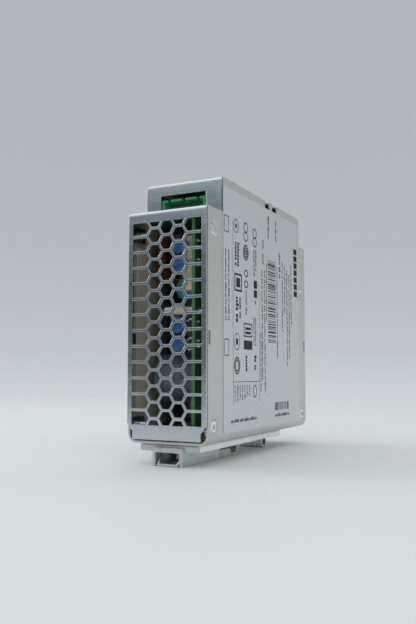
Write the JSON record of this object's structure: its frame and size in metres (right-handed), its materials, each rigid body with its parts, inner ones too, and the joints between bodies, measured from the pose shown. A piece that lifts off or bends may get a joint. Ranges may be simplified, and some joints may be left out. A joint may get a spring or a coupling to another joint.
{
  "type": "din rail power supply",
  "caption": "Slim metal-cased DIN rail power supply with honeycomb grilles, stepped connector ends and a sprung sliding rail foot.",
  "frame": {"origin": "bottom centre of the bounding box, on the surface that the rail foot stands on", "axes": "+Z points out of the unit's front, away from the rail; -Y is the mains end, where the foot's release is; +X is the side with the rating label"},
  "size_m": [0.0403, 0.126, 0.1291],
  "materials": {
    "chassis_steel": "matte zinc-flake grey",
    "cover_steel": "zinc-plated, satin",
    "screw_steel": "zinc-plated",
    "label_film": "printed polyester film",
    "adapter_steel": "galvanised",
    "slider_steel": "zinc-plated, satin",
    "latch_zinc": "die-cast zinc, as cast",
    "spring_steel": "bright",
    "board_laminate": "green solder mask on glass laminate",
    "foil": "grey-olive insulating foil",
    "header_green": "moulded polyamide",
    "tinned_pin": "tinned",
    "ceramic": "unglazed",
    "disc_blue": "epoxy coated",
    "disc_teal": "epoxy coated",
    "film_box": "moulded box",
    "ferrite": "ground ferrite",
    "copper": "enamelled copper wire",
    "sleeve": "shrink sleeve",
    "winding_tape": "polyester tape",
    "aluminium": "mill",
    "moulding": "moulded epoxy",
    "trimmer_blue": "moulded",
    "light_green": "tinted epoxy"
  },
  "bodies": {
    "housing": {"adapter_screw_1": "screw_steel", "adapter_screw_2": "screw_steel", "board_pillar_1": "aluminium", "board_pillar_2": "aluminium", "bridge_rectifier": "moulding", "bulk_capacitor": "sleeve", "chassis": "chassis_steel", "choke_core": "ferrite", "choke_winding_1": "copper", "choke_winding_2": "copper", "folded_cover": "cover_steel", "foot_spring": "spring_steel", "front_board": "board_laminate", "front_label": "label_film", "fuse": "ceramic", "heat_spreader": "aluminium", "insulating_foil": "foil", "main_board": "board_laminate", "mains_header": "header_green", "mains_pin_1": "tinned_pin", "mains_pin_2": "tinned_pin", "mains_pin_3": "tinned_pin", "mains_screw_1": "screw_steel", "mains_screw_2": "screw_steel", "mains_screw_3": "screw_steel", "mains_screw_4": "screw_steel", "output_capacitor_1": "sleeve", "output_capacitor_2": "sleeve", "output_capacitor_3": "sleeve", "output_choke": "copper", "output_header": "header_green", "output_pin_1": "tinned_pin", "output_pin_2": "tinned_pin", "output_pin_3": "tinned_pin", "output_pin_4": "tinned_pin", "output_screw_1": "screw_steel", "output_screw_2": "screw_steel", "output_screw_3": "screw_steel", "output_screw_4": "screw_steel", "output_screw_5": "screw_steel", "output_screw_6": "screw_steel", "rail_adapter": "adapter_steel", "rail_hook": "adapter_steel", "rectifier_diode": "moulding", "side_label": "label_film", "status_light": "light_green", "switch_transistor": "moulding", "transformer_core": "ferrite", "transformer_winding": "winding_tape", "trimmer_body": "trimmer_blue", "varistor": "disc_teal", "x_capacitor": "film_box", "y_capacitor_1": "disc_blue", "y_capacitor_2": "disc_blue", "y_capacitor_3": "disc_blue", "y_capacitor_4": "disc_blue"},
    "foot": {"foot_slider": "slider_steel", "release_bracket": "spring_steel", "latch_block": "latch_zinc"},
    "trimmer": {"trimmer_screw": "moulding"}
  },
  "joints": [
    {"name": "foot_slide", "type": "slide", "parent": "housing", "child": "foot", "axis": [0, -1, 0], "range_m": [0, 0.005], "stiffness_N_per_m": 900, "springref_m": -0.006, "deforming": ["foot_spring"]},
    {"name": "trimmer_turn", "type": "hinge", "parent": "housing", "child": "trimmer", "pos_m": [0.0173, 0.01565, 0.1257], "axis": [1, 0, 0], "range_deg": [-135, 135]}
  ]
}
